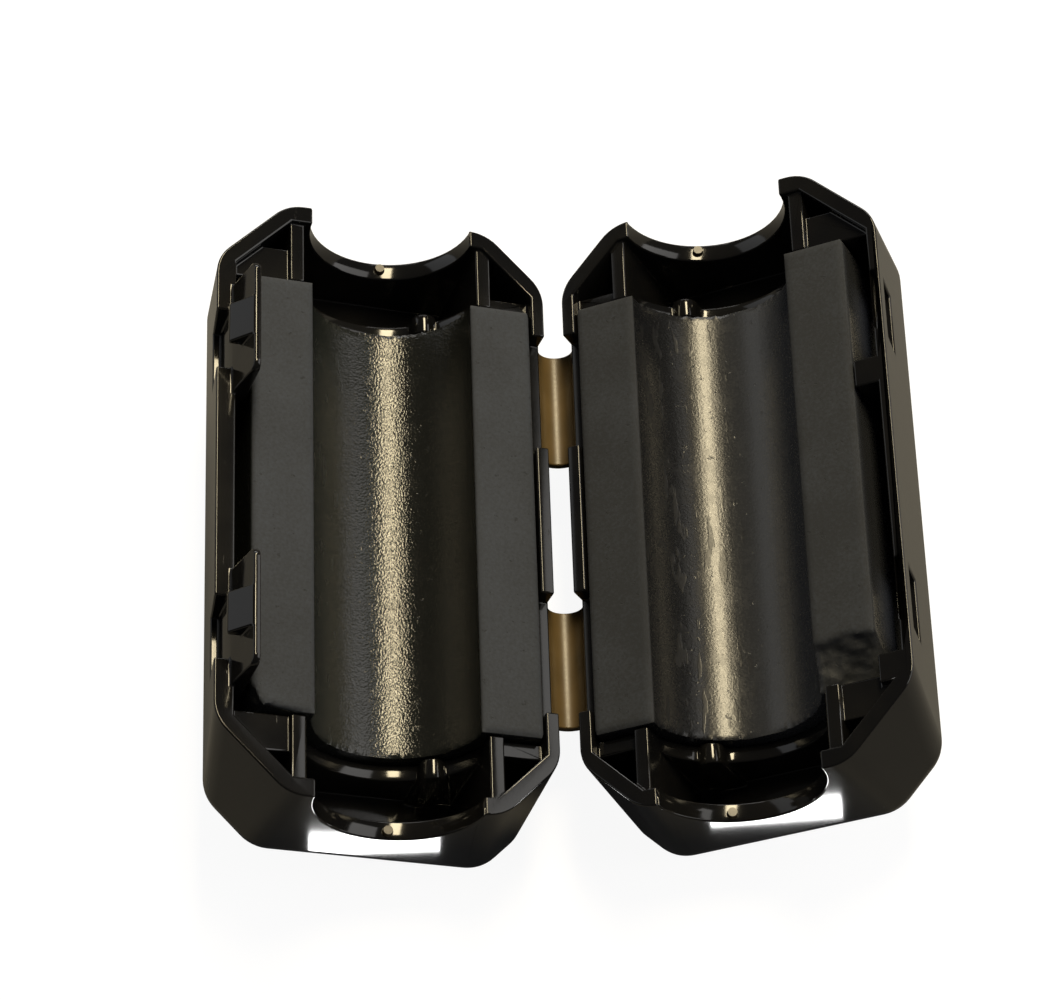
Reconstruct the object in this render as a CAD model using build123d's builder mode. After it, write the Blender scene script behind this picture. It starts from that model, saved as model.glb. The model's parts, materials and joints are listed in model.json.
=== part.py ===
from build123d import *
from math import cos, radians, sin, sqrt
import os

os.makedirs("parts", exist_ok=True)

# Open clip-on ferrite sleeve for a 9 mm cable, lying open like a book on its two inner bottom edges.
# The hinge line is Y, the floor is z = 0, the base is at -X and the cover at +X.
# Each half is drawn in its own flat frame: hinge wall at x = 0, rim at z = 0, body below, latch side at +X.
# Sizes are in millimetres.

# How far each half is swung up from lying flat, in degrees
lift = 21.5
hinge_gap = 1.15
closed_gap = 0.04
# The corner edges lean less than this from upright, in degrees, which tells them from the others
lean_limit = 20.0

# Shell
pocket_length = 4.05
latch_space = 2.1
hinge_corner = 3.6
latch_corner = 4.4
corner_lean = 1.2
end_draw = 0.2
latch_draw = 1.5
corner_round = 2.5
bottom_round = 1.6
hinge_wall = 0.8
end_wall = 1.15
corner_wall = 1.0
floor_wall = 1.15
base_latch_wall = 1.2
cover_latch_wall = 0.65

# Ferrite halves
channel_radius = 5.0
core_width = 17.5
core_length = 28.8
core_height = 8.0
core_bevel = 0.2
core_sink = 0.05
core_fit = 0.1

# Damage to the ferrite: a chip at the base's near latch corner and a break at the cover's
chip_length = 1.7
chip_width = 0.8
chip_reach = 2.9
chip_step = 0.3
chip_depth = 3.0
break_length = 2.4
break_depth = 2.6
break_edge = 0.6
break_lap = 0.4

# Pockets beyond the ferrite ends
web_thickness = 1.0
web_drop = 0.9
web_step = 0.8
stop_length = 2.3
stop_width = 2.7
stop_drop = 0.6
rib_thickness = 0.9
rib_offset = 5.9
rib_drop = 0.3
finger_width = 1.6
finger_length = 1.3
finger_gap = 0.1
finger_angle = 35.0

# Hinge straps
strap_station_inset = 5.55
strap_length = 7.6
strap_thickness = 0.5
strap_drop = 1.2
strap_sag = 1.3
strap_relief = 0.1
strap_inset = 0.3

# Snap latches
latch_station_inset = 4.8
tongue_length = 7.4
tongue_thickness = 1.0
tongue_height = 3.2
tongue_root = 3.0
tongue_round = 0.6
latch_clearance = 0.3
hook_length = 2.6
hook_reach = 0.6
hook_play = 0.15
hook_land = 0.35
window_length = 4.0
window_top = 1.3
window_bottom = 3.4
lead_in = 0.45
lead_in_depth = 0.7
post_length = 1.75
post_gap = 0.15

shell_depth = core_sink + core_height + floor_wall
core_seat = -core_sink - core_height
core_center = hinge_wall + core_fit + core_width / 2
core_side = core_center + core_width / 2 + core_fit
shell_length = core_length + 2 * (core_fit + pocket_length + end_wall)
shell_width = core_side + latch_space
strap_stations = (strap_station_inset - core_length / 2, core_length / 2 - strap_station_inset)
latch_stations = (latch_station_inset - core_length / 2, core_length / 2 - latch_station_inset)
lip_inside = shell_width - cover_latch_wall
tongue_outside = lip_inside - latch_clearance
tongue_inside = tongue_outside - tongue_thickness
hook_drop = window_top + hook_play
# The tongues lean in with the lip that they slide along
tongue_lean = tongue_height * (lip_inside - core_side) / -core_seat

# Height of the hinge line, with the rounded inner bottom edges on the floor
hinge_height = (
    (shell_depth - bottom_round + closed_gap / 2) * cos(radians(lift))
    - (bottom_round + hinge_gap / 2) * sin(radians(lift))
    + bottom_round
)


def outline(x_hinge, x_latch, length, corner_hinge, corner_latch):
    """Plan of a half: a rectangle with its four corners cut at 45 degrees."""
    Polygon(
        (x_hinge, -length / 2 + corner_hinge),
        (x_hinge + corner_hinge, -length / 2),
        (x_latch - corner_latch, -length / 2),
        (x_latch, -length / 2 + corner_latch),
        (x_latch, length / 2 - corner_latch),
        (x_latch - corner_latch, length / 2),
        (x_hinge + corner_hinge, length / 2),
        (x_hinge, length / 2 - corner_hinge),
        align=None,
    )


def inner_corner(corner, side_wall):
    """The corner cut of the cavity, one corner wall inside the shell's own."""
    return corner + sqrt(2) * corner_wall - end_wall - side_wall


def block(x_range, y_range, z_range, mode=Mode.ADD):
    """A box between two limits on each axis."""
    middle = [sum(limits) / 2 for limits in (x_range, y_range, z_range)]
    with Locations(tuple(middle)):
        Box(
            x_range[1] - x_range[0],
            y_range[1] - y_range[0],
            z_range[1] - z_range[0],
            mode=mode,
        )


def tray(x_limits, length, corners, depth):
    """A tray-shaped solid: eight-sided in plan, drawn in at the latch side and the ends towards its floor."""
    x_hinge, x_latch, x_low = x_limits
    with BuildPart() as solid:
        with BuildSketch():
            outline(x_hinge, x_latch, length, corners[0], corners[1])
        extrude(amount=-depth)
        with BuildSketch(Plane.XZ):
            Polygon(
                (x_hinge, 0),
                (x_latch, 0),
                (x_low, -depth),
                (x_hinge, -depth),
                align=None,
            )
        extrude(amount=length / 2, both=True, mode=Mode.INTERSECT)
        with BuildSketch(Plane.YZ):
            Polygon(
                (-length / 2, 0),
                (length / 2, 0),
                (length / 2 - end_draw, -depth),
                (-length / 2 + end_draw, -depth),
                align=None,
            )
        extrude(amount=x_latch, mode=Mode.INTERSECT)
    return solid.part


def shell_body(latch_wall):
    """The tray that both halves share, with its end pockets and the gaps for the straps."""
    outside = tray(
        (0, shell_width, shell_width - latch_draw),
        shell_length,
        (hinge_corner - corner_lean, latch_corner),
        shell_depth,
    )
    with BuildPart() as rounded:
        add(outside)
        # The corner cuts at the hinge side lean out from the rim to the bottom
        for end in (-1, 1):
            lean = Plane(
                origin=(0, end * (shell_length / 2 - hinge_corner), 0),
                z_dir=(1, -end, -corner_lean / shell_depth),
            )
            split(bisect_by=lean, keep=Keep.TOP)
        upright = rounded.edges().filter_by(lambda edge: abs((edge % 0.5).Z) > cos(radians(lean_limit)))
        fillet(upright, radius=corner_round)
        fillet(rounded.faces().sort_by(Axis.Z)[0].edges(), radius=bottom_round)
    # The cavity keeps its walls' thickness where the body draws in
    cavity = tray(
        (hinge_wall, shell_width - latch_wall, core_side),
        shell_length - 2 * end_wall,
        (inner_corner(hinge_corner, hinge_wall), inner_corner(latch_corner, latch_wall)),
        -core_seat,
    )

    # Webs that stop the ferrite, cut lower than its channel, with blocks at its latch corner
    with BuildPart() as fittings:
        web_start = core_length / 2 + core_fit
        web_end = web_start + web_thickness
        for reach in ((-web_end, -web_start), (web_start, web_end)):
            block((0, shell_width), reach, (-shell_depth, -web_drop))
        with Locations((core_center, 0, 0)):
            Cylinder(channel_radius + web_step, 2 * web_end, rotation=(90, 0, 0), mode=Mode.SUBTRACT)
        for end in (-1, 1):
            reach = sorted((end * web_start, end * (web_start + stop_length)))
            block((core_side - stop_width, shell_width), reach, (-shell_depth, -stop_drop))
            # Ribs stiffen the end wall on both sides of the notch
            reach = sorted((end * web_start, end * shell_length / 2))
            for side in (-1, 1):
                middle = core_center + side * rib_offset
                block(
                    (middle - rib_thickness / 2, middle + rib_thickness / 2),
                    reach,
                    (-shell_depth, -rib_drop),
                )
            # A spring finger with a rounded tip leans towards the cable from the hinge side
            tip = channel_radius + finger_gap + finger_width / 2
            finger_x = core_center - tip * sin(radians(finger_angle))
            finger_z = -tip * cos(radians(finger_angle))
            finger_y = end * (web_start + finger_length / 2)
            with Locations((finger_x, finger_y, finger_z)):
                Cylinder(finger_width / 2, finger_length, rotation=(90, 0, 0))
            block(
                (finger_x - finger_width / 2, finger_x + finger_width / 2),
                (finger_y - finger_length / 2, finger_y + finger_length / 2),
                (-shell_depth, finger_z),
            )
        add(rounded.part, mode=Mode.INTERSECT)

    with BuildPart() as shell:
        add(rounded.part)
        add(cavity, mode=Mode.SUBTRACT)
        add(fittings.part)
        with Locations((core_center, 0, 0)):
            Cylinder(channel_radius, shell_length, rotation=(90, 0, 0), mode=Mode.SUBTRACT)
        for station in strap_stations:
            relief = strap_length / 2 + strap_relief
            block(
                (0, hinge_wall),
                (station - relief, station + relief),
                (-strap_drop, 0),
                mode=Mode.SUBTRACT,
            )
    return shell.part


# Base: its latch side carries two snap tongues that stand above the rim
with BuildPart() as base_flat:
    add(shell_body(base_latch_wall))
    for station in latch_stations:
        block(
            (tongue_outside, shell_width),
            (station - window_length / 2, station + window_length / 2),
            (-tongue_root, 0),
            mode=Mode.SUBTRACT,
        )
        with BuildSketch(Plane.YZ.offset(tongue_inside)):
            with Locations((station, (tongue_height - tongue_root) / 2)):
                Rectangle(tongue_length, tongue_height + tongue_root)
            fillet(vertices().group_by(Axis.Y)[-1], radius=tongue_round)
        extrude(amount=tongue_thickness)
        tongue_tip = tongue_outside - tongue_lean
        with BuildSketch(Plane.XZ.offset(-station)):
            Polygon((tongue_outside, 0), (tongue_outside, tongue_height), (tongue_tip, tongue_height), align=None)
        extrude(amount=tongue_length / 2, both=True, mode=Mode.SUBTRACT)
        with BuildSketch(Plane.XZ.offset(-station)):
            Polygon(
                (tongue_inside, hook_drop),
                (tongue_outside + hook_reach, hook_drop),
                (tongue_outside + hook_reach, hook_drop + hook_land),
                (tongue_tip, tongue_height),
                align=None,
            )
        extrude(amount=hook_length / 2, both=True)

# Cover: its thin latch lip has a window for each hook, with a lead-in above it and a guide post beside it
with BuildPart() as cover_flat:
    add(shell_body(cover_latch_wall))
    for station in latch_stations:
        window = (station - window_length / 2, station + window_length / 2)
        block((core_side, shell_width), window, (-window_bottom, -window_top), mode=Mode.SUBTRACT)
        with BuildSketch(Plane.XZ.offset(-station)):
            Polygon((lip_inside, 0), (lip_inside + lead_in, 0), (lip_inside, -lead_in_depth), align=None)
        extrude(amount=window_length / 2, both=True, mode=Mode.SUBTRACT)
        post_end = station - tongue_length / 2 - post_gap
        with BuildSketch(Plane.XZ.offset(-post_end)):
            Polygon(
                (core_side, 0),
                (lip_inside, 0),
                (core_side, core_seat),
                align=None,
            )
        extrude(amount=post_length)


def core_body():
    """Half of the ferrite sleeve, with the half-round channel and small bevels on its outer long edges."""
    with BuildPart() as core:
        with Locations((core_center, 0, core_seat / 2 - core_sink / 2)):
            Box(core_width, core_length, core_height)
        chamfer(core.faces().sort_by(Axis.Z)[-1].edges().filter_by(Axis.Y), length=core_bevel)
        with Locations((core_center, 0, 0)):
            Cylinder(channel_radius, core_length, rotation=(90, 0, 0), mode=Mode.SUBTRACT)
    return core.part


# Base ferrite half, with its chipped near latch corner
with BuildPart() as base_core_flat:
    add(core_body())
    chip_x = core_center + core_width / 2
    for depth, share in ((core_sink, 1.0), (chip_depth, 0.3)):
        with BuildSketch(Plane.XY.offset(-depth)):
            Polygon(
                (chip_x, -core_length / 2),
                (chip_x, share * chip_length - core_length / 2),
                (chip_x - share * chip_width, share * chip_step - core_length / 2),
                (chip_x - share * chip_reach, -core_length / 2),
                align=None,
            )
    loft(mode=Mode.SUBTRACT)

# Cover ferrite half, with the break that took its near latch corner
with BuildPart() as cover_core_flat:
    add(core_body())
    near_end = -core_length / 2
    outer_side = core_center + core_width / 2
    with BuildSketch(Plane.XZ.offset(-near_end)):
        Polygon(
            (core_center + channel_radius - break_lap, 0),
            (outer_side, 0),
            (outer_side, -break_depth),
            (core_center + channel_radius - break_lap, -break_depth / 2),
            align=None,
        )
    with BuildSketch(Plane.XZ.offset(-near_end - break_length)):
        Polygon(
            (core_center + channel_radius - break_lap, 0),
            (outer_side, 0),
            (outer_side, -break_edge),
            (core_center + channel_radius - break_lap, -break_edge / 2),
            align=None,
        )
    loft(mode=Mode.SUBTRACT)

cover_seat = Location((0, 0, hinge_height), (0, -lift, 0)) * Location((hinge_gap / 2, 0, -closed_gap / 2))
base_seat = Location((0, 0, hinge_height), (0, lift, 0)) * Location((-hinge_gap / 2, 0, -closed_gap / 2))

with BuildPart() as cover_shell:
    with Locations(cover_seat):
        add(cover_flat.part)

with BuildPart() as cover_core:
    with Locations(cover_seat):
        add(cover_core_flat.part)

with BuildPart() as base_shell:
    with Locations(base_seat):
        add(mirror(base_flat.part, about=Plane.YZ, mode=Mode.PRIVATE))

with BuildPart() as base_core:
    with Locations(base_seat):
        add(mirror(base_core_flat.part, about=Plane.YZ, mode=Mode.PRIVATE))

for piece, name in (
    (base_shell, "base_shell"),
    (cover_shell, "cover_shell"),
    (base_core, "base_core"),
    (cover_core, "cover_core"),
):
    piece.part.label = name
    export_step(piece.part, f"parts/{name}.step")

# Hinge straps: thin webs that hang in a loop between the two hinge walls, trimmed to their faces
root = strap_drop + strap_thickness / 2 + closed_gap / 2
inset = hinge_gap / 2 + strap_inset
root_x = inset * cos(radians(lift)) + root * sin(radians(lift))
root_z = inset * sin(radians(lift)) - root * cos(radians(lift)) + hinge_height
bottom_z = (hinge_gap / 2) * sin(radians(lift)) - root * cos(radians(lift)) + hinge_height - strap_sag
for station, name in zip(strap_stations, ("hinge_strap_front", "hinge_strap_rear")):
    with BuildPart() as strap:
        with BuildSketch(Plane.XZ.offset(-station)):
            with BuildLine():
                ThreePointArc((-root_x, root_z), (0, bottom_z), (root_x, root_z))
            trace(line_width=strap_thickness)
        extrude(amount=strap_length / 2, both=True)
        for side in (-1, 1):
            face = Location((0, 0, hinge_height), (0, -side * lift, 0)) * Location((side * hinge_gap / 2, 0, 0))
            wall_plane = Plane(
                origin=face.position,
                z_dir=(-side * cos(radians(lift)), 0, -sin(radians(lift))),
            )
            split(bisect_by=wall_plane, keep=Keep.TOP)
    strap.part.label = name
    export_step(strap.part, f"parts/{name}.step")
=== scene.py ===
import json
from math import cos, radians, sin

import bmesh
import bpy
from mathutils import Matrix, Vector, noise


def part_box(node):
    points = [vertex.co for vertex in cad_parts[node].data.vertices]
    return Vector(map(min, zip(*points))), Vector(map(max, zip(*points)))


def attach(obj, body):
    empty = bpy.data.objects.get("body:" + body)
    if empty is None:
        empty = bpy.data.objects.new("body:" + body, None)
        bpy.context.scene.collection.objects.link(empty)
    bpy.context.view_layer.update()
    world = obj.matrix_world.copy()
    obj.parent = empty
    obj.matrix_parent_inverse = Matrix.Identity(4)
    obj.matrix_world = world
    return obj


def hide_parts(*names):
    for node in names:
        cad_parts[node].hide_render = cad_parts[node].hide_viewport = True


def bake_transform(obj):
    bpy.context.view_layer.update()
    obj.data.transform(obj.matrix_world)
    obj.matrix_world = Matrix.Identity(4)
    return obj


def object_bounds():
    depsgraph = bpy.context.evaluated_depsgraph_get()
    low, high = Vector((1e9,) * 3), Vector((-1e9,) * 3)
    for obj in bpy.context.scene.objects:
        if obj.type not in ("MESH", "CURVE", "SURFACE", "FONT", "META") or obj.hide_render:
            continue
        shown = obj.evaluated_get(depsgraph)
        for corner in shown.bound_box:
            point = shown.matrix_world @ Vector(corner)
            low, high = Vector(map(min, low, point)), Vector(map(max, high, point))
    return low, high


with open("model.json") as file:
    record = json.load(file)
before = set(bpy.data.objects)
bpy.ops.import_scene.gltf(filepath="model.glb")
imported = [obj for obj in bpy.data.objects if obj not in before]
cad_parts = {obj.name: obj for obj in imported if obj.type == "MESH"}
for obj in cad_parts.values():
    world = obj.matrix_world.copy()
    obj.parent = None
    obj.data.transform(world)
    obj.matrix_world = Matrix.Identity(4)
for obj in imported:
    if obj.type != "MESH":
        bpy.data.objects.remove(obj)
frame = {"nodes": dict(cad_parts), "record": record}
cad_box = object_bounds()
nodes = frame["nodes"]
joint = frame["record"]["behaviour"]["joints"][0]
hinge = Vector(joint["pos_m"])
half_open = radians(21.5)

# Camera: a long lens above the near end of the open case. Its place is given in the base half's own frame,
# whose origin is on the hinge line and whose Z points out of the parting face.
frame_width, frame_height = 1053, 1000
focal_pixels = 3903.1
middle_x, middle_y = 531.1, 501.8
eye = Vector((-0.0677, -0.1108, 0.1935))
view_turn = Vector((2.6077, 0.0635, 0.4193))
sensor = 36.0
swing = Matrix.Rotation(half_open, 3, "Y")
to_view = Matrix.Rotation(view_turn.length, 3, view_turn.normalized())
right, down, ahead = (swing @ row for row in to_view)
camera_data = bpy.data.cameras.new("camera")
camera_data.sensor_width = sensor
camera_data.lens = focal_pixels / frame_width * sensor
camera_data.shift_x = (frame_width / 2 - middle_x) / frame_width
camera_data.shift_y = (middle_y - frame_height / 2) / frame_width
camera_data.clip_start = 0.01
camera = bpy.data.objects.new("camera", camera_data)
camera_place = Matrix((right, -down, -ahead)).transposed().to_4x4()
camera_place.translation = swing @ eye + hinge
camera.matrix_world = camera_place
bpy.context.scene.collection.objects.link(camera)
bpy.context.scene.camera = camera


# Moulded case: glossy black nylon, base, cover and straps in one shot. The mould leaves every edge a
# little round, and flow marks, fine scuffs and dust break up the gloss.
class Surface:
    """A value that varies over a surface. Sums and products of it add Math nodes to its material."""

    def __init__(self, tree, socket=None):
        self.tree = tree
        self.socket = socket

    def node(self, kind, settings, values, output=0):
        made = self.tree.nodes.new(kind)
        for name, setting in settings.items():
            if name == "stops":
                for _ in range(len(setting) - 2):
                    made.color_ramp.elements.new(0.5)
                for element, (position, colour) in zip(made.color_ramp.elements, setting):
                    element.position = position
                    element.color = (*colour, 1.0)
            else:
                setattr(made, name, setting)
        for name, value in values.items():
            if isinstance(value, Surface):
                self.tree.links.new(value.socket, made.inputs[name])
            else:
                made.inputs[name].default_value = value
        return Surface(self.tree, made.outputs[output])

    def maths(self, operation, first, second=0.0):
        return self.node("ShaderNodeMath", {"operation": operation}, {0: first, 1: second})

    def __add__(self, other):
        return self.maths("ADD", self, other)

    def __radd__(self, other):
        return self.maths("ADD", other, self)

    def __sub__(self, other):
        return self.maths("SUBTRACT", self, other)

    def __rsub__(self, other):
        return self.maths("SUBTRACT", other, self)

    def __mul__(self, other):
        return self.maths("MULTIPLY", self, other)

    def __rmul__(self, other):
        return self.maths("MULTIPLY", other, self)


def finish(name):
    """A new material: its surface maths, the object's coordinates and its shader's sockets."""
    material = bpy.data.materials.new(name)
    material.use_nodes = True
    tree = material.node_tree
    surface = Surface(tree)
    place = surface.node("ShaderNodeTexCoord", {}, {}, "Object")
    return material, surface, place, tree.nodes["Principled BSDF"].inputs


def cloud(surface, place, scale, detail=2.0, roughness=0.5):
    """Soft noise from 0 to 1. A scale of 1000 gives patches about a millimetre across."""
    return surface.node(
        "ShaderNodeTexNoise",
        {"noise_dimensions": "3D"},
        {"Vector": place, "Scale": scale, "Detail": detail, "Roughness": roughness},
    )


def stretched(surface, place, scale, turn=(0.0, 0.0, 0.0)):
    """Coordinates that draw a pattern out along the axes whose scale is small."""
    return surface.node("ShaderNodeMapping", {}, {"Vector": place, "Scale": scale, "Rotation": turn})


def between(surface, value, low, high):
    """The value's part between low and high, from 0 to 1 and smooth at both ends."""
    return surface.node(
        "ShaderNodeMapRange",
        {"interpolation_type": "SMOOTHSTEP"},
        {"Value": value, "From Min": low, "From Max": high},
    )


def feed(surface, value, socket):
    surface.tree.links.new(value.socket, socket)


def case_finish():
    material, surface, place, shader = finish("black_nylon")
    flow = cloud(surface, place, 240, 3)
    grain = cloud(surface, place, 3600, 2)
    drawn = stretched(surface, place, (1.0, 0.15, 1.0), (0.0, 0.0, 0.5))
    scuffs = between(surface, cloud(surface, drawn, 2400, 4, 0.7), 0.64, 0.72)
    worn = between(surface, cloud(surface, place, 420, 3, 0.6), 0.52, 0.66)
    dust = between(surface, cloud(surface, place, 9000, 1), 0.74, 0.78)
    dark, flowed, dusty = (0.0035, 0.0035, 0.0038), (0.008, 0.0075, 0.0065), (0.03, 0.028, 0.022)
    colour = surface.node(
        "ShaderNodeValToRGB",
        {"stops": ((0.3, dark), (0.7, flowed), (1.0, dusty))},
        {"Fac": 0.75 * flow + 0.3 * dust},
    )
    feed(surface, colour, shader["Base Color"])
    feed(surface, 0.08 + 0.06 * flow + 0.2 * scuffs * worn, shader["Roughness"])
    height = flow + 0.3 * grain + 0.4 * scuffs * worn
    bump = surface.node("ShaderNodeBump", {}, {"Strength": 0.1, "Distance": 0.00002, "Height": height})
    feed(surface, bump, shader["Normal"])
    return material


def merged_form(node):
    """The mesh of a CAD node with its loose triangles joined into clean faces."""
    form = bmesh.new()
    form.from_mesh(nodes[node].data)
    bmesh.ops.remove_doubles(form, verts=form.verts, dist=1e-6)
    bmesh.ops.dissolve_limit(form, angle_limit=radians(1), verts=form.verts, edges=form.edges)
    return form


def new_piece(name, form, material):
    """An object at the origin that holds the form, which is used up."""
    mesh = bpy.data.meshes.new(name)
    form.to_mesh(mesh)
    form.free()
    mesh.materials.append(material)
    piece = bpy.data.objects.new(name, mesh)
    bpy.context.scene.collection.objects.link(piece)
    return piece


def settle(piece):
    """Make the piece's modifiers part of its mesh."""
    shaped = bpy.data.meshes.new_from_object(piece.evaluated_get(bpy.context.evaluated_depsgraph_get()))
    piece.modifiers.clear()
    piece.data = shaped


mould_edge = 0.00012
smooth_angle = radians(32)
case = case_finish()
for node, body in (("base_shell", "base"), ("cover_shell", "cover")):
    piece = new_piece(node + "_moulding", merged_form(node), case)
    piece.data.shade_smooth()
    edges = piece.modifiers.new("mould_edges", "BEVEL")
    edges.width = mould_edge
    edges.segments = 2
    edges.limit_method = "ANGLE"
    edges.angle_limit = smooth_angle
    edges.use_clamp_overlap = False
    flats = piece.modifiers.new("flat_faces", "WEIGHTED_NORMAL")
    flats.keep_sharp = True
    settle(piece)
    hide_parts(node)
    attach(piece, body)


# Hinge straps: two thin webs of the same nylon, moulded with both halves, that hang in a loop between the
# hinge walls. Their bent skin is stretched smooth. The brown on it is a painted sheen: a band painted a
# little left of each web's middle, where the bend faces the lamps at the right, and the rest stays near
# black.
def strap_finish():
    material, surface, place, shader = finish("nylon_with_painted_sheen")
    flow = cloud(surface, place, 500, 3)
    lines = cloud(surface, stretched(surface, place, (0.1, 1.0, 0.1)), 5000, 2)
    from_sheen_band = surface.node("ShaderNodeSeparateXYZ", {}, {"Vector": place}) + sheen_band_shift
    # painted sheen: brown across a band centred a little left of the web's middle, near black away from it
    painted_sheen = 1 - between(surface, from_sheen_band.maths("ABSOLUTE", from_sheen_band), *sheen_band_fade)
    colour = surface.node(
        "ShaderNodeValToRGB",
        {"stops": ((0.2, (0.02, 0.013, 0.005)), (0.9, (0.11, 0.072, 0.026)))},
        {"Fac": 0.45 * flow + 0.55 * painted_sheen},
    )
    feed(surface, colour, shader["Base Color"])
    feed(surface, 0.28 + 0.16 * lines, shader["Roughness"])
    bump = surface.node("ShaderNodeBump", {}, {"Strength": 0.25, "Distance": 0.00002, "Height": lines})
    feed(surface, bump, shader["Normal"])
    return material


def strap_tree(material):
    """Geometry Nodes of a strap: a rounded flat profile swept along an arc that hangs across the hinge."""
    tree = bpy.data.node_groups.new("hanging_strap", "GeometryNodeTree")
    sockets = {}
    for name in ("Station", "Width", "Thickness", "Span", "Height", "Sag"):
        sockets[name] = tree.interface.new_socket(name, in_out="INPUT", socket_type="NodeSocketFloat")
    tree.interface.new_socket("Geometry", in_out="OUTPUT", socket_type="NodeSocketGeometry")
    sizes = tree.nodes.new("NodeGroupInput").outputs

    def add(kind, values, **settings):
        made = tree.nodes.new(kind)
        for name, setting in settings.items():
            setattr(made, name, setting)
        for name, value in values.items():
            if isinstance(value, bpy.types.NodeSocket):
                tree.links.new(value, made.inputs[name])
            else:
                made.inputs[name].default_value = value
        return made.outputs

    half_span = add("ShaderNodeMath", {0: sizes["Span"], 1: 0.5}, operation="MULTIPLY")[0]
    other_side = add("ShaderNodeMath", {0: sizes["Span"], 1: -0.5}, operation="MULTIPLY")[0]
    bottom = add("ShaderNodeMath", {0: sizes["Height"], 1: sizes["Sag"]}, operation="SUBTRACT")[0]
    points = [
        add("ShaderNodeCombineXYZ", {"X": across, "Y": sizes["Station"], "Z": up})[0]
        for across, up in ((other_side, sizes["Height"]), (0.0, bottom), (half_span, sizes["Height"]))
    ]
    arc = add(
        "GeometryNodeCurveArc",
        {"Resolution": 25, "Start": points[0], "Middle": points[1], "End": points[2]},
        mode="POINTS",
    )
    outline = add(
        "GeometryNodeCurvePrimitiveQuadrilateral",
        {"Width": sizes["Width"], "Height": sizes["Thickness"]},
    )
    rounded = add(
        "GeometryNodeFilletCurve", {"Curve": outline[0], "Count": 4, "Radius": strap_edge}, mode="POLY"
    )
    swept = add(
        "GeometryNodeCurveToMesh", {"Curve": arc["Curve"], "Profile Curve": rounded[0], "Fill Caps": True}
    )
    real = add("GeometryNodeRealizeInstances", {"Geometry": swept[0]})
    dressed = add("GeometryNodeSetMaterial", {"Geometry": real[0], "Material": material})
    tree.links.new(dressed[0], tree.nodes.new("NodeGroupOutput").inputs[0])
    return tree, {name: socket.identifier for name, socket in sockets.items()}


strap_thickness, strap_edge = 0.0005, 0.0001
# Where the painted sheen band sits on each strap and how fast it fades, in metres across the web
sheen_band_shift, sheen_band_fade = 0.0004, (0.0003, 0.0012)
strap_material = strap_finish()
tree, inputs = strap_tree(strap_material)
for node in ("hinge_strap_front", "hinge_strap_rear"):
    low, high = (Vector(corner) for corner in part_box(node))
    piece = new_piece(node + "_web", bmesh.new(), strap_material)
    sweep = piece.modifiers.new("sweep", "NODES")
    sweep.node_group = tree
    root = high.z - strap_thickness / 2
    sweep[inputs["Station"]] = (low.y + high.y) / 2
    sweep[inputs["Width"]] = high.y - low.y
    sweep[inputs["Thickness"]] = strap_thickness
    sweep[inputs["Span"]] = high.x - low.x - strap_thickness / 2
    sweep[inputs["Height"]] = root
    sweep[inputs["Sag"]] = root - low.z - strap_thickness / 2
    settle(piece)
    piece.data.shade_smooth()
    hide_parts(node)
    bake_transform(piece)


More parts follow.
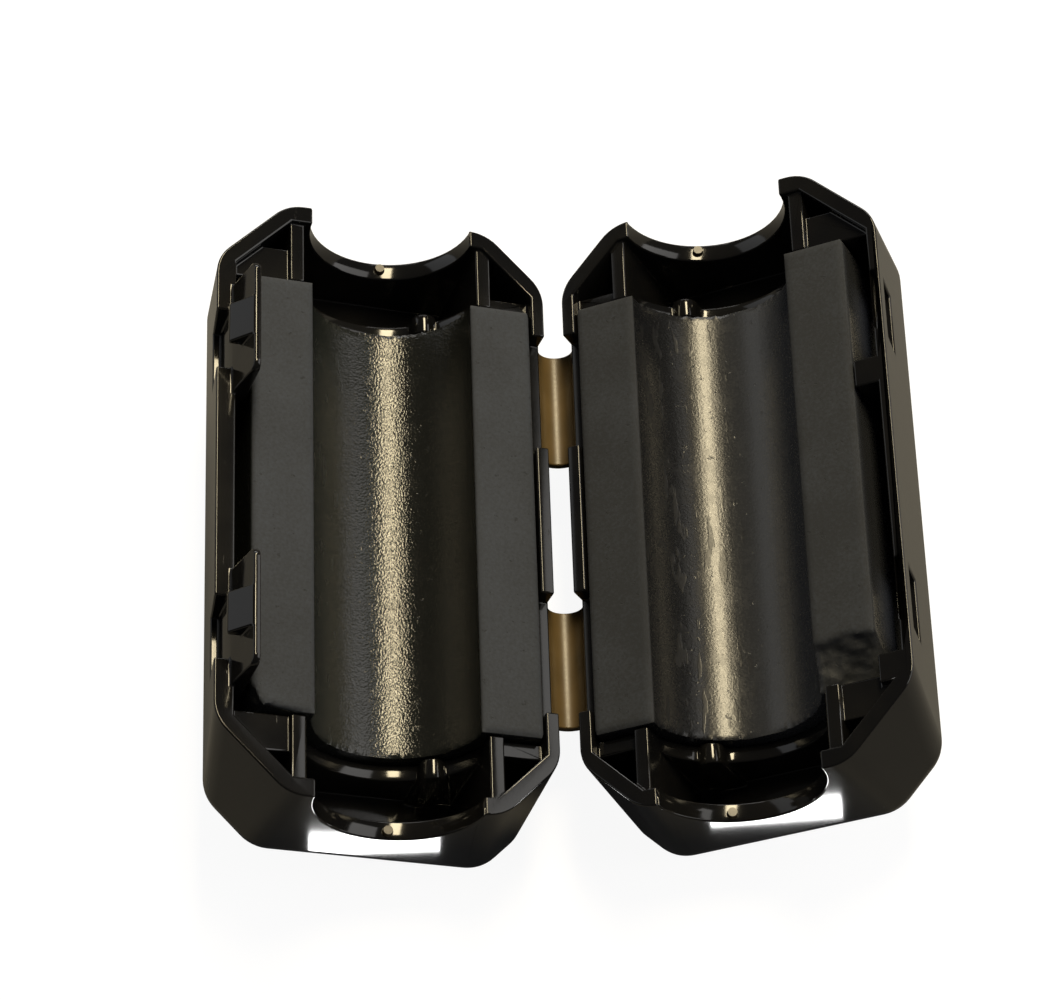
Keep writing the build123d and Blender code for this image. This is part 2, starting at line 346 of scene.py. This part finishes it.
# Ferrite halves: pressed and fired ceramic, ground flat on the parting faces, with a smoother cable
# channel that cables have rubbed. They lie loose between the end pockets. The near latch corner is
# chipped on the base's half and broken off on the cover's.
def ferrite_finish(name, side, channel, sparkle, painted_shade, skin):
    """The finish of one half. Its flat coordinates run across the channel, along it and out of it."""
    material, surface, place, shader = finish(name)
    flat = surface.node(
        "ShaderNodeMapping",
        {"vector_type": "TEXTURE"},
        {"Vector": place, "Location": channel, "Rotation": (0.0, -side * half_open, 0.0)},
    )
    depth = surface.node("ShaderNodeSeparateXYZ", {}, {"Vector": flat}, "Z")
    groove = between(surface, depth, *groove_edge)
    grain = cloud(surface, place, 5200, 3, 0.6)
    mottle = cloud(surface, place, 180, 2)
    rubbed = between(surface, cloud(surface, place, 650, 4, 0.65), 0.5, 0.62)
    glints = between(surface, cloud(surface, place, 6500, 2, 0.6), 0.6, 0.68)
    lengthwise = cloud(surface, stretched(surface, flat, (1.0, 0.03, 1.0)), 2600, 3, 0.6)
    pits = between(surface, cloud(surface, place, 2200, 3, 0.6), 0.66, 0.72)
    across = surface.node("ShaderNodeSeparateXYZ", {}, {"Vector": flat}, "X")
    paler = between(surface, across + 0.001 * mottle, *paler_side)
    slanted = stretched(surface, flat, (1.0, 0.25, 1.0), (0.0, 0.0, 0.6 * side))
    strokes = cloud(surface, slanted, 1500, 3, 0.5)
    scratch = between(surface, strokes, 0.6, 0.66) * groove * (1 - paler)
    broken = surface.node("ShaderNodeAttribute", {"attribute_name": "fracture"}, {}, "Fac")
    facets = surface.node("ShaderNodeTexVoronoi", {"feature": "F1"}, {"Vector": place, "Scale": 1400.0})
    pitted, ground_face, dusted = (0.008, 0.0096, 0.0128), (0.0235, 0.0278, 0.037), (0.045, 0.053, 0.069)
    # Ground face tone: grain, mottle and pits are the ceramic's own, and painted_shade darkens a whole
    # half as painted shade
    ground = surface.node(
        "ShaderNodeValToRGB",
        {"stops": ((0.2, pitted), (0.5, ground_face), (0.9, dusted))},
        {"Fac": 0.5 * grain + 0.35 * mottle - 0.2 * pits - 0.5 * broken - painted_shade},
    )
    lighter = paler * (0.6 + 0.4 * grain) - 0.8 * scratch
    fired = surface.node(
        "ShaderNodeMix",
        {"data_type": "RGBA"},
        {"Factor": lighter, "A": (*skin[0], 1.0), "B": (*skin[1], 1.0)},
        "Result",
    )
    colour = surface.node(
        "ShaderNodeMix",
        {"data_type": "RGBA"},
        {"Factor": groove * (1 - broken), "A": ground, "B": fired},
        "Result",
    )
    feed(surface, colour, shader["Base Color"])
    polish = groove * (0.6 + 0.4 * sparkle - 0.04 * rubbed) * (1 - broken)
    rough = 0.84 + 0.1 * grain - polish + 0.15 * scratch - sparkle * groove * glints - 0.15 * broken
    feed(surface, rough, shader["Roughness"])
    crystals = cloud(surface, place, 8000, 1, 0.5) * groove
    height = (
        grain + 11.0 * sparkle * crystals + 0.3 * groove * lengthwise - 1.5 * pits - 0.8 * scratch
        + 6.0 * broken * facets
    )
    bump = surface.node("ShaderNodeBump", {}, {"Strength": 0.35, "Distance": 0.00003, "Height": height})
    feed(surface, bump, shader["Normal"])
    return material


groove_edge = (-0.00012, -0.0004)
paler_side = (-0.0035, 0.002)
voxel = 0.0002
near_zero = 0.00002
tear, tear_scale = 0.0006, 700
fracture_depth, fracture_scale, fracture_mean = 0.00022, 900, 0.2
skin_start, skin_fade = 0.00012, 0.0003
# The cover's half gets painted shade on its ground faces, darker than the base's because it faces away
# from the lamps at the right
for node, body, side, mount, sparkle, painted_shade, skin in (
    ("base_core", "base", -1, 0, 0.3, 0.0, ((0.011, 0.0122, 0.011), (0.006, 0.0062, 0.0055))),
    ("cover_core", "cover", 1, 1, 0.06, 0.17, ((0.007, 0.0075, 0.009), (0.03, 0.032, 0.037))),
):
    channel = Vector(frame["record"]["mounts"][mount]["pos_m"])
    bore = frame["record"]["mounts"][mount]["dims"]["r_mm"] / 1000
    turn = Matrix.Rotation(-side * half_open, 4, "Y")
    to_flat = turn.inverted() @ Matrix.Translation(-channel)
    form = merged_form(node)
    bmesh.ops.transform(form, matrix=to_flat, verts=form.verts)
    edges_of = [[vert.co[axis] for vert in form.verts] for axis in range(3)]
    lowest, highest = Vector(map(min, edges_of)), Vector(map(max, edges_of))
    # The line where a broken corner meets the ground face runs ragged
    form.normal_update()
    ragged = [
        edge
        for edge in form.edges
        if all(abs(vert.co.z - highest.z) < near_zero for vert in edge.verts)
        and all(lowest.y + near_zero < vert.co.y < highest.y - near_zero for vert in edge.verts)
        and abs(edge.verts[0].co.x - edge.verts[1].co.x) > tear
    ]
    torn = bmesh.ops.subdivide_edges(form, edges=ragged, cuts=9)["geom_inner"]
    for vert in torn:
        if isinstance(vert, bmesh.types.BMVert):
            vert.co.y += tear * noise.fractal(vert.co * tear_scale, 1.0, 2.0, 3)
    bmesh.ops.triangulate(form, faces=form.faces)
    ferrite = ferrite_finish(node + "_ferrite", side, channel, sparkle, painted_shade, skin)
    piece = new_piece(node + "_ceramic", form, ferrite)
    fired = piece.modifiers.new("fired", "REMESH")
    fired.mode = "VOXEL"
    fired.voxel_size = voxel
    settle(piece)
    form = bmesh.new()
    form.from_mesh(piece.data)
    form.normal_update()
    # Skin that lies inside the half's outline is a fracture, and is rough
    fracture = form.verts.layers.float.new("fracture")
    for vert in form.verts:
        spot = vert.co
        radius = Vector((spot.x, 0, spot.z)).length
        inside = min(
            spot.x - lowest.x, highest.x - spot.x, spot.y - lowest.y, highest.y - spot.y,
            spot.z - lowest.z, highest.z - spot.z, radius - bore,
        )
        broken = min(max((inside - skin_start) / skin_fade, 0.0), 1.0)
        vert[fracture] = broken
        rough = noise.fractal(spot * fracture_scale, 1.0, 2.0, 4)
        vert.co = spot + vert.normal * fracture_depth * broken * (rough - fracture_mean)
    bmesh.ops.transform(form, matrix=to_flat.inverted(), verts=form.verts)
    form.to_mesh(piece.data)
    form.free()
    piece.data.shade_smooth()
    piece.data.set_sharp_from_angle(angle=radians(50))
    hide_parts(node)
    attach(piece, body)


# Gate stubs: where the nylon ran into the mould, a sheared stub is left near the bottom of each cable
# notch, rolled a few degrees towards the hinge. They wear the strap nylon, whose brown makes them paler
# than the gloss round them as a painted glint.
stub_radius, stub_height, stub_inset = 0.0004, 0.0006, 0.0006
for body, side, mount, roll in (("base", -1, 0, 7), ("cover", 1, 1, 26)):
    channel = frame["record"]["mounts"][mount]
    bore = channel["dims"]["r_mm"] / 1000
    form = bmesh.new()
    turn = Matrix.Rotation(side * (radians(roll) - half_open), 4, "Y")
    for end in (-1, 1):
        spot = Matrix.Translation((0, end * (cad_box[1][1] - stub_inset), -bore))
        bmesh.ops.create_cone(
            form, cap_ends=True, segments=12, radius1=stub_radius, radius2=0.7 * stub_radius,
            depth=stub_height, matrix=Matrix.Translation(channel["pos_m"]) @ turn @ spot,
        )
    # painted glint: the stubs take the strap nylon, paler than the black case
    piece = new_piece(body + "_gate_stubs", form, strap_material)
    piece.data.shade_smooth()
    piece.data.set_sharp_from_angle(angle=smooth_angle)
    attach(piece, body)


# Floor and studio light: a plain white floor that keeps the object's shadow, a long warm window beyond the
# far end that draws a streak down each channel, and large soft lamps at the other sides.
def floor_finish():
    material, surface, place, shader = finish("white_floor")
    shader["Base Color"].default_value = (0.15, 0.15, 0.15, 1.0)
    shader["Roughness"].default_value = 0.9
    shader["Specular IOR Level"].default_value = 0.0
    shader["Emission Color"].default_value = (1.0, 1.0, 1.0, 1.0)
    seen = surface.node("ShaderNodeLightPath", {}, {}, "Is Camera Ray")
    feed(surface, 0.92 * seen, shader["Emission Strength"])
    return material


floor_reach = 0.6
floor_mesh = bpy.data.meshes.new("floor")
floor_mesh.from_pydata(
    [(-floor_reach, -floor_reach, 0), (floor_reach, -floor_reach, 0),
     (floor_reach, floor_reach, 0), (-floor_reach, floor_reach, 0)],
    [],
    [(0, 1, 2, 3)],
)
floor = bpy.data.objects.new("floor", floor_mesh)
bpy.context.scene.collection.objects.link(floor)
floor.data.materials.append(floor_finish())

world = bpy.data.worlds.new("studio")
world.use_nodes = True
bpy.context.scene.world = world
sky = Surface(world.node_tree)
camera_ray = sky.node("ShaderNodeLightPath", {}, {}, "Is Camera Ray")
diffuse_ray = sky.node("ShaderNodeLightPath", {}, {}, "Is Diffuse Ray")
background = world.node_tree.nodes["Background"].inputs
feed(sky, 0.04 + 0.96 * camera_ray + 0.15 * diffuse_ray, background["Strength"])
background["Color"].default_value = (1.0, 1.0, 1.0, 1.0)


def softbox(name, place, target, width, length, power, colour):
    """An area light at a place, in metres, that faces its target."""
    lamp = bpy.data.lights.new(name, "AREA")
    lamp.shape = "RECTANGLE"
    lamp.size = width
    lamp.size_y = length
    lamp.energy = power
    lamp.color = colour
    light = bpy.data.objects.new(name, lamp)
    facing = (Vector(place) - Vector(target)).normalized()
    across = Vector((0, 1, 0)).cross(facing).normalized()
    light.matrix_world = Matrix((across, facing.cross(across), facing)).transposed().to_4x4()
    light.location = place
    bpy.context.scene.collection.objects.link(light)


def around(angle, tilt, distance):
    """A point over the object: angle from upright towards +X, then tilt towards the rear, in degrees."""
    across = radians(angle)
    along = radians(tilt)
    return (
        distance * sin(across) * cos(along),
        distance * sin(along),
        distance * cos(across) * cos(along),
    )


middle = (0, 0, 0.01)
softbox("warm_window", around(12, 28, 0.42), middle, 0.09, 0.3, 2.2, (1.0, 0.85, 0.56))
softbox("soft_right", around(64, 5, 0.5), middle, 0.5, 0.5, 1.4, (1.0, 0.98, 0.95))
softbox("soft_left", around(-72, 20, 0.5), middle, 0.4, 0.5, 0.35, (0.96, 0.98, 1.0))
softbox("soft_rear", around(0, 66, 0.5), middle, 0.4, 0.08, 0.5, (1.0, 0.98, 0.95))
# Two short light bars lie before the near end and draw a white strip on each end wall
near_end = cad_box[0][1]
bar_width, bar_length, bar_power, bar_height = 0.0078, 0.0014, 0.0008, 0.0003
for name, across, before in (("bar_left", -0.0122, 0.0023), ("bar_right", 0.0118, 0.0029)):
    bar = (across, near_end - before, bar_height)
    straight_up = (across, near_end - before, 1.0)
    softbox(name, bar, straight_up, bar_width, bar_length, bar_power, (1.0, 1.0, 1.0))

bpy.context.scene.view_settings.view_transform = "Standard"
